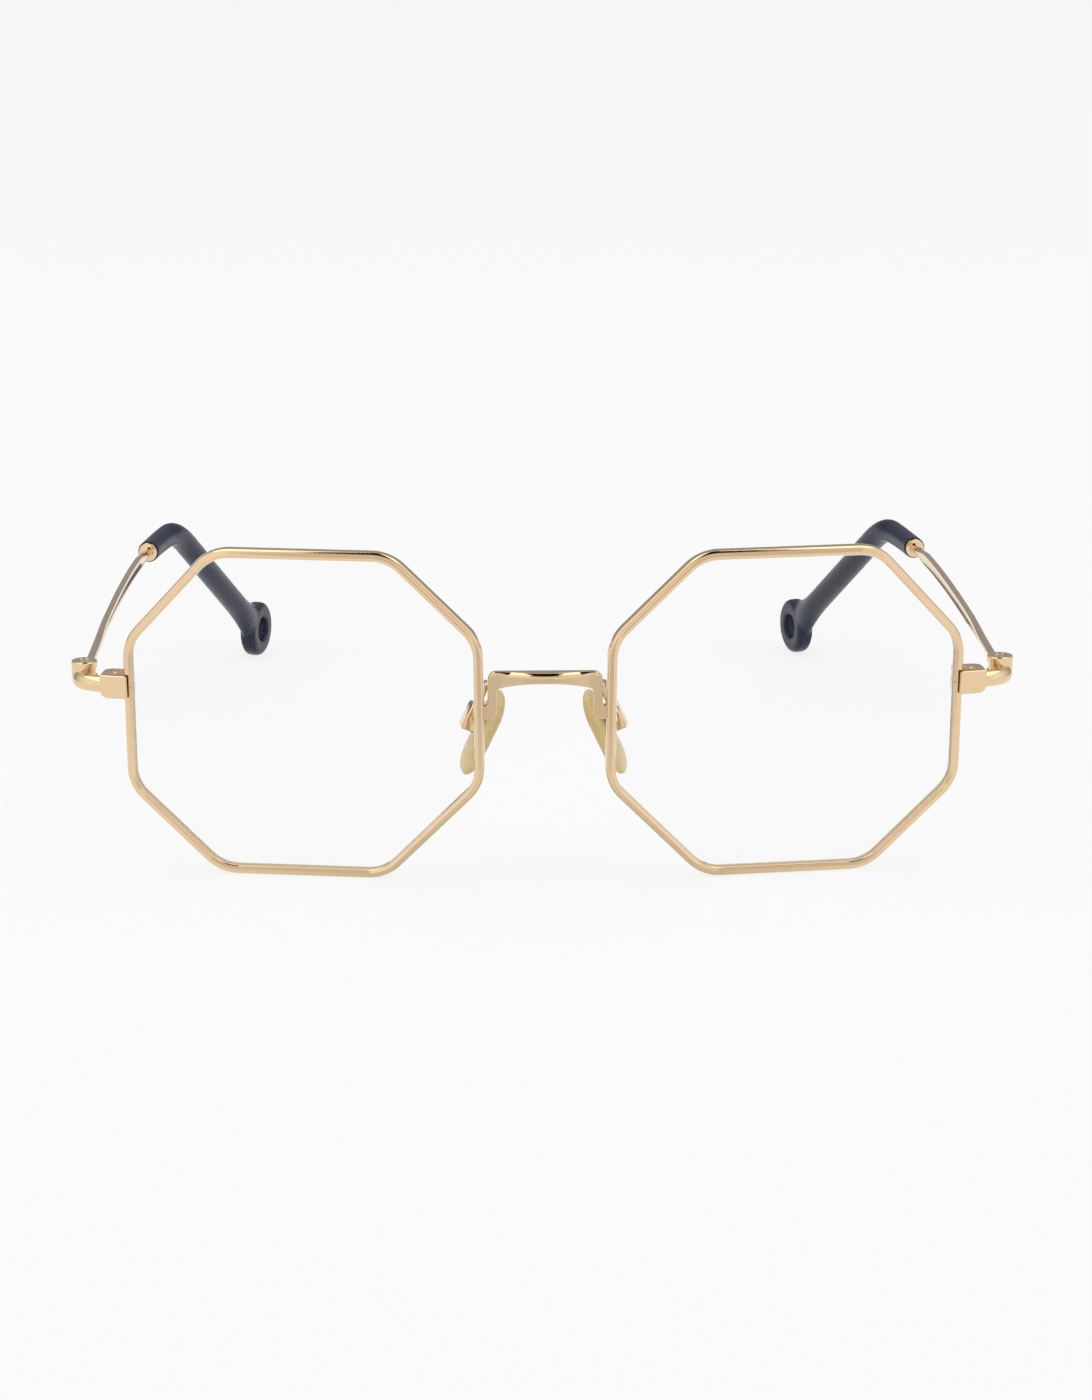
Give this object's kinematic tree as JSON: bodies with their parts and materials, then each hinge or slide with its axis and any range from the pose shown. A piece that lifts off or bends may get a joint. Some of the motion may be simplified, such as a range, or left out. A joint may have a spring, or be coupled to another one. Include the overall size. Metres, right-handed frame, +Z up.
{
  "type": "full-rim wire eyeglass frame",
  "caption": "Octagonal full-rim wire spectacle frame with clear lenses, saddle bridge, rocking nose pads, hinged temples and tips that end in a round disc with a cord hole.",
  "frame": {"origin": "on the table under the middle of the open frame's box, midway between the two rims", "axes": "+X to the wearer's left, +Y back along the temples, +Z up; the frame stands open on its rims and on its tips"},
  "size_m": [0.1414, 0.149, 0.0511],
  "materials": {
    "wire_gold": "polished champagne gold plating on drawn wire",
    "bright_gold": "polished champagne gold plating on cast and turned pieces",
    "screw_gold": "gold-plated, slotted heads",
    "clear_lens": "clear, untinted",
    "soft_pad": "translucent champagne, smooth",
    "pad_core": "translucent, smooth",
    "navy_acetate": "polished navy acetate"
  },
  "bodies": {
    "front": {"bridge": "bright_gold", "rim_right": "wire_gold", "rim_left": "wire_gold", "lens_right": "clear_lens", "lens_left": "clear_lens", "end_piece_right": "bright_gold", "end_piece_left": "bright_gold", "closing_block_upper_right": "wire_gold", "closing_block_upper_left": "wire_gold", "closing_block_lower_right": "wire_gold", "closing_block_lower_left": "wire_gold", "closing_screw_right": "screw_gold", "closing_screw_left": "screw_gold", "hinge_screw_right": "screw_gold", "hinge_screw_left": "screw_gold", "pad_arm_right": "wire_gold", "pad_arm_left": "wire_gold", "pad_box_right": "bright_gold", "pad_box_left": "bright_gold", "pad_screw_right": "screw_gold", "pad_screw_left": "screw_gold"},
    "temple_right": {"temple_right": "wire_gold", "ferrule_right": "bright_gold", "tip_right": "navy_acetate"},
    "temple_left": {"temple_left": "wire_gold", "ferrule_left": "bright_gold", "tip_left": "navy_acetate"},
    "pad_right": {"nose_pad_right": "soft_pad", "pad_insert_right": "pad_core"},
    "pad_left": {"nose_pad_left": "soft_pad", "pad_insert_left": "pad_core"}
  },
  "joints": [
    {"name": "temple_fold_right", "type": "hinge", "parent": "front", "child": "temple_right", "pos_m": [-0.06877, -0.05953, 0.03006], "axis": [0, 0, -1], "range_deg": [0, 81]},
    {"name": "temple_fold_left", "type": "hinge", "parent": "front", "child": "temple_left", "pos_m": [0.06877, -0.05953, 0.03006], "axis": [0, 0, 1], "range_deg": [0, 75]},
    {"name": "pad_rock_right", "type": "hinge", "parent": "front", "child": "pad_right", "pos_m": [-0.01056, -0.06345, 0.0236], "axis": [0.1567, -0.9848, -0.0748], "range_deg": [-8, 8]},
    {"name": "pad_rock_left", "type": "hinge", "parent": "front", "child": "pad_left", "pos_m": [0.01056, -0.06345, 0.0236], "axis": [-0.1567, -0.9848, -0.0748], "range_deg": [-8, 8]}
  ]
}
